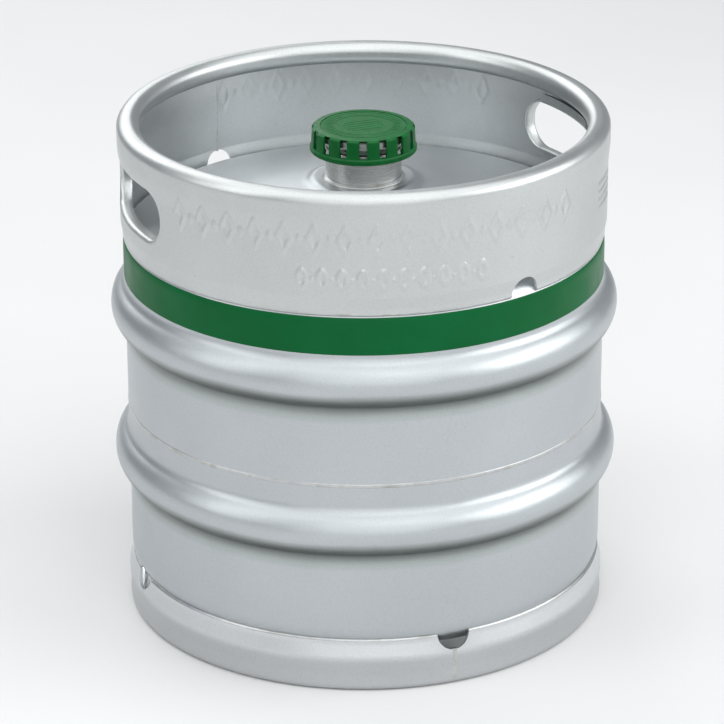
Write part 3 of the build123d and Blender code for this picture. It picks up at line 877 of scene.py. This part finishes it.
def satin_steel(name, tint=(0.52, 0.55, 0.565), rough=(0.36, 0.45), grain=0.10, painted_shade=None):
    """Pickled stainless: fine bead-blasted grain, faint clouds, a few marks."""
    material, tree, shader, vec = new_material(name)
    clouds = noise(tree, vec, 9.0, 4.0, 0.55)
    base = ramp(tree, clouds, [(0.3, tuple(c * 0.95 for c in tint)), (0.7, tint)])
    speck = ramp(tree, noise(tree, vec, 1100.0, 2.0, 0.6), [(0.30, 0.80), (0.52, 1.0)])
    base = mix(tree, "MULTIPLY", 0.55, base, speck)
    marks = ramp(tree, noise(tree, vec, 140.0, 4.0, 0.7), [(0.70, 1.0), (0.78, 0.62)])
    base = mix(tree, "MULTIPLY", 0.7, base, marks)
    # Painted shade: a tone by height, multiplied into the base colour.
    if painted_shade:
        base = mix(tree, "MULTIPLY", 1.0, base, height_tone(tree, vec, painted_shade))
    tree.links.new(base, shader.inputs["Base Color"])
    shader.inputs["Metallic"].default_value = 1.0
    rub = ramp(tree, noise(tree, vec, 22.0, 5.0, 0.6), [(0.3, rough[0]), (0.72, rough[1])])
    tree.links.new(rub, shader.inputs["Roughness"])
    fine = noise(tree, vec, 1400.0, 2.0, 0.55)
    soft = noise(tree, vec, 60.0, 3.0, 0.5)
    scratch = ramp(tree, noise(tree, vec, 30.0, 6.0, 0.75, (1.0, 1.0, 14.0)), [(0.60, 0.0), (0.66, 1.0)])
    bump(tree, shader, [(fine, grain, 0.0004), (soft, 0.12, 0.0010), (scratch, 0.06, 0.0002)])
    return material


def weld_steel(name):
    material, tree, shader, vec = new_material(name)
    heat = noise(tree, vec, 70.0, 3.0, 0.6)
    tints = [(0.3, (0.44, 0.44, 0.42)), (0.5, (0.56, 0.57, 0.56)), (0.7, (0.50, 0.51, 0.53))]
    drive(tree, heat, tints, shader.inputs["Base Color"])
    shader.inputs["Metallic"].default_value = 1.0
    drive(tree, noise(tree, vec, 300.0, 3.0), [(0.3, 0.30), (0.7, 0.42)], shader.inputs["Roughness"])
    bump(tree, shader, [(noise(tree, vec, 700.0, 3.0, 0.6), 0.10, 0.0004)])
    return material


def turned_steel(name, rough=(0.16, 0.30), tint=(0.68, 0.67, 0.65)):
    """Turned steel: fine rings round the axis."""
    material, tree, shader, vec = new_material(name)
    rings = noise(tree, vec, 90.0, 3.0, 0.6, (0.3, 0.3, 22.0))
    drive(tree, rings, [(0.3, tuple(c * 0.88 for c in tint)), (0.7, tint)], shader.inputs["Base Color"])
    shader.inputs["Metallic"].default_value = 1.0
    drive(tree, rings, [(0.3, rough[0]), (0.7, rough[1])], shader.inputs["Roughness"])
    bump(tree, shader, [(rings, 0.10, 0.0003), (noise(tree, vec, 900.0, 2.0), 0.05, 0.0003)])
    return material


def lacquer(name):
    """The green band: sprayed lacquer with slight orange peel, uneven depth and a few scuffs."""
    material, tree, shader, vec = new_material(name)
    cloud = noise(tree, vec, 16.0, 4.0, 0.6)
    base = ramp(tree, cloud, [(0.32, (0.0, 0.084, 0.020)), (0.68, (0.0, 0.102, 0.027))])
    worn = ramp(tree, noise(tree, vec, 75.0, 5.0, 0.75, (1.0, 1.0, 4.0)), [(0.71, 0.0), (0.75, 1.0)])
    base = mix(tree, "MIX", worn, base, (0.10, 0.20, 0.13))
    tree.links.new(base, shader.inputs["Base Color"])
    drive(tree, noise(tree, vec, 40.0, 4.0), [(0.3, 0.30), (0.7, 0.42)], shader.inputs["Roughness"])
    shader.inputs["Specular IOR Level"].default_value = 0.12
    peel, fine = noise(tree, vec, 420.0, 2.0, 0.5), noise(tree, vec, 1500.0, 2.0)
    bump(tree, shader, [(peel, 0.10, 0.0004), (fine, 0.06, 0.0003)])
    return material


def moulded(name, dark, light, rough=(0.32, 0.46), specular=0.5):
    material, tree, shader, vec = new_material(name)
    shader.inputs["Specular IOR Level"].default_value = specular
    mottle = noise(tree, vec, 120.0, 4.0, 0.6)
    drive(tree, mottle, [(0.35, dark), (0.65, light)], shader.inputs["Base Color"])
    sheen = noise(tree, vec, 260.0, 3.0)
    drive(tree, sheen, [(0.3, rough[0]), (0.7, rough[1])], shader.inputs["Roughness"])
    fine, soft = noise(tree, vec, 1600.0, 2.0, 0.6), noise(tree, vec, 180.0, 2.0)
    bump(tree, shader, [(fine, 0.12, 0.0003), (soft, 0.08, 0.0005)])
    return material


def floor_material():
    material, tree, shader, vec = new_material("floor")
    tone = ramp(tree, noise(tree, vec, 3.0, 2.0), [(0.3, 0.72), (0.7, 0.74)])
    tree.links.new(tone, shader.inputs["Base Color"])
    shader.inputs["Roughness"].default_value = 0.75
    shader.inputs["Specular IOR Level"].default_value = 0.2
    return material


# ------------------------------------------------------------------ build
def finish_piece(obj, body, slot, material, *nodes):
    obj.data.materials.clear()
    obj.data.materials.append(material)
    if nodes:
        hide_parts(*nodes)
    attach(obj, body)
    return obj


# The shell's colour is multiplied by painted shade under the hoops.
shell_mat = satin_steel("shell_steel_look", painted_shade=painted_hoop_shade())
chime_mat = satin_steel("chime_steel_look", (0.58, 0.60, 0.60), (0.34, 0.43), 0.09)
# Painted light: the foot ring's upper bulge is kept bright and the part below it painted darker, as light
# falls on the ring.
FOOT_PAINTED_SHADE = {2.0: 0.80, 22.0: 0.80, 28.0: 1.0}
foot_mat = satin_steel("foot_steel_look", (0.68, 0.70, 0.71), (0.34, 0.43), 0.09, FOOT_PAINTED_SHADE)
weld_mat = weld_steel("weld_look")
turned_mat = turned_steel("turned_look", (0.24, 0.34))
wire_mat = turned_steel("wire_look", (0.25, 0.4), (0.5, 0.5, 0.5))
band_mat = lacquer("lacquer_look")
cap_mat = moulded("cap_look", (0.001, 0.090, 0.016), (0.003, 0.118, 0.024), specular=0.2)
rubber_mat = moulded("rubber_look", (0.018, 0.018, 0.018), (0.03, 0.03, 0.03), (0.5, 0.65))

upper_path, collar_z = upper_shell_path()
lower_path = lower_shell_path()
upper_section = sheet_section(resample(upper_path, 3.0), SHELL_T)
lower_section = sheet_section(resample(lower_path, 3.0), SHELL_T)
upper = lathe("upper_skin", upper_section, around(1.5), shape=swelled, sharp=60.0)
lower = lathe("lower_skin", lower_section, around(1.5), shape=swelled, sharp=60.0, weld=True)
finish_piece(upper, "keg", "shell_steel", shell_mat, "upper_shell")
finish_piece(lower, "keg", "shell_steel", shell_mat, "lower_shell")

fine_upper = resample(upper_path, 0.8)
in_band = (fine_upper[:, 1] >= BAND_Z[0]) & (fine_upper[:, 1] <= BAND_Z[1])
wall = fine_upper[in_band & (fine_upper[:, 0] > 160)]
coat = beside(wall, -BAND_T)
coat_section = np.concatenate([coat[1:-1], beside(wall, 0.3)[::-1]])
band = lathe("band_coat", coat_section, around(1.0), shape=swelled, sharp=70.0)
finish_piece(band, "keg", "green_lacquer", band_mat, "colour_band")

finish_piece(top_chime(), "keg", "chime_steel", chime_mat, "top_chime")
finish_piece(bottom_chime(), "keg", "chime_steel", foot_mat, "bottom_chime")
finish_piece(girth_weld(), "keg", "weld_steel", weld_mat, "girth_weld")
finish_piece(top_chime_weld(), "keg", "weld_steel", weld_mat, "top_chime_weld")
finish_piece(bottom_chime_weld(), "keg", "weld_steel", weld_mat, "bottom_chime_weld")
chime_wall = chime_path()
chime_wall = chime_wall[:int(np.argmax(chime_wall[:, 1] > CHIME_FLARE_Z[1]))]
foot_wall = foot_path()
foot_wall = foot_wall[(foot_wall[:, 0] > 178) & (foot_wall[:, 1] > 3)][::-1]


def radius_on(wall_path):
    """A function that gives the wall's radius at a height."""
    return lambda height: float(np.interp(height, wall_path[:, 1], wall_path[:, 0]))


chime_butt = upright_weld("chime_butt", CHIME_SEAM_AZ, DRAIN_Z + DRAIN_R - 1, CHIME_SEAM_TOP_Z,
                          radius_on(chime_wall), 2.2, 0.12, CHIME_T, 0.2)
finish_piece(chime_butt, "keg", "weld_steel", weld_mat, "top_chime_seam")
foot_butt = upright_weld("foot_butt", FOOT_SEAM_AZ, FOOT_SEAM_Z, NOTCH_Z - NOTCH_R + 0.6,
                         radius_on(foot_wall), 4.0, 0.12, FOOT_T, 0.03)
finish_piece(foot_butt, "keg", "weld_steel", weld_mat, "bottom_chime_seam")
finish_piece(neck_socket(), "keg", "fitting_steel", turned_mat, "neck_socket")
finish_piece(neck_weld(collar_z), "keg", "weld_steel", weld_mat, "neck_weld")
finish_piece(cap_relief(), "cap", "cap_plastic", cap_mat)
coil = finish_piece(valve_spring(), "keg", "spring_steel", wire_mat, "valve_spring")
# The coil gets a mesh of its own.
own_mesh(coil)

CAD_LOOKS = {
    "fitting_body": turned_mat, "safety_snap_ring": wire_mat, "valve_cage": turned_mat,
    "seal_carrier": turned_mat, "centre_plug": turned_mat, "spear_tube": turned_mat,
    "spear_collar": turned_mat, "spear_circlip": wire_mat, "neck_gasket": rubber_mat,
    "valve_seal": rubber_mat, "spear_o_ring": rubber_mat,
    "keg_cap": cap_mat,
}
for node, look in CAD_LOOKS.items():
    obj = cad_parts[node]
    for slot in obj.material_slots:
        slot.material = look

# ------------------------------------------------------------------ stage
def plane(name, size):
    half = size / 2
    mesh = bpy.data.meshes.new(name)
    corners = [(-half, -half, 0), (half, -half, 0), (half, half, 0), (-half, half, 0)]
    mesh.from_pydata(corners, [], [(0, 1, 2, 3)])
    obj = bpy.data.objects.new(name, mesh)
    bpy.context.scene.collection.objects.link(obj)
    return obj


floor = plane("floor", 14.0)
floor.data.materials.append(floor_material())


def area_light(name, place_m, aim, size, power):
    data = bpy.data.lights.new(name, "AREA")
    data.shape = "RECTANGLE"
    data.size, data.size_y = size
    data.energy = power
    obj = bpy.data.objects.new(name, data)
    bpy.context.scene.collection.objects.link(obj)
    obj.location = place_m
    obj.rotation_euler = (Vector(aim) - Vector(place_m)).to_track_quat("-Z", "Y").to_euler()


VIEW_AZ = -21.0


def from_view(right, away, up):
    """A place given to the right of the camera's line, beyond the keg and above the floor."""
    a = radians(VIEW_AZ)
    return (right * cos(a) + away * -sin(a), right * sin(a) + away * cos(a), up)


# Name, place from the view, height aimed at on the axis, size and watts.
LIGHTS = (
    ("overhead", (-0.1, -0.2, 2.3), 0.3, (3.6, 3.0), 46),
    ("front", (0.2, -3.3, 1.75), 0.3, (4.6, 3.3), 54),
    ("key_right", (2.5, -0.5, 1.35), 0.3, (2.8, 1.9), 45),
    ("back_left", (-1.3, 2.6, 1.9), 0.36, (2.6, 1.8), 30),
    ("key_left", (-2.6, -1.2, 1.6), 0.3, (1.8, 2.2), 20),
)
for name, spot, aim_z, size, power in LIGHTS:
    area_light(name, from_view(*spot), (0, 0, aim_z), size, power)

# Small lights under the keg show light steel through the notches.
INSIDE_R = 0.150
INSIDE_AIM_R = 0.152
INSIDE_Z = 0.017
for bearing in (45.0, 135.0, 225.0, 315.0):
    a = radians(bearing)
    spot = (INSIDE_R * sin(a), -INSIDE_R * cos(a), INSIDE_Z)
    aim = (INSIDE_AIM_R * sin(a), -INSIDE_AIM_R * cos(a), 0)
    area_light("inside_foot", spot, aim, (0.05, 0.05), 0.09)

world = bpy.data.worlds.new("studio")
bpy.context.scene.world = world
world.use_nodes = True
background = world.node_tree.nodes["Background"]
background.inputs["Color"].default_value = (0.9, 0.95, 1.0, 1.0)
background.inputs["Strength"].default_value = 0.36

# ------------------------------------------------------------------ camera
CAMERA_BACK = 2.5544
CAMERA_UP = 1.2455
PITCH = 22.523
ROLL = -0.281
YAW = 0.0392
LENS = 180.95

camera_data = bpy.data.cameras.new("camera")
camera_data.lens = LENS
camera_data.sensor_width = 36.0
camera_data.clip_end = 30.0
camera = bpy.data.objects.new("camera", camera_data)
bpy.context.scene.collection.objects.link(camera)
turn = (
    Matrix.Rotation(radians(VIEW_AZ), 4, "Z") @ Matrix.Rotation(radians(90 - PITCH), 4, "X")
    @ Matrix.Rotation(radians(YAW), 4, "Y") @ Matrix.Rotation(radians(ROLL), 4, "Z")
)
camera.matrix_world = Matrix.Translation(from_view(0, -CAMERA_BACK, CAMERA_UP)) @ turn
bpy.context.scene.camera = camera
bpy.context.scene.view_settings.view_transform = "Standard"
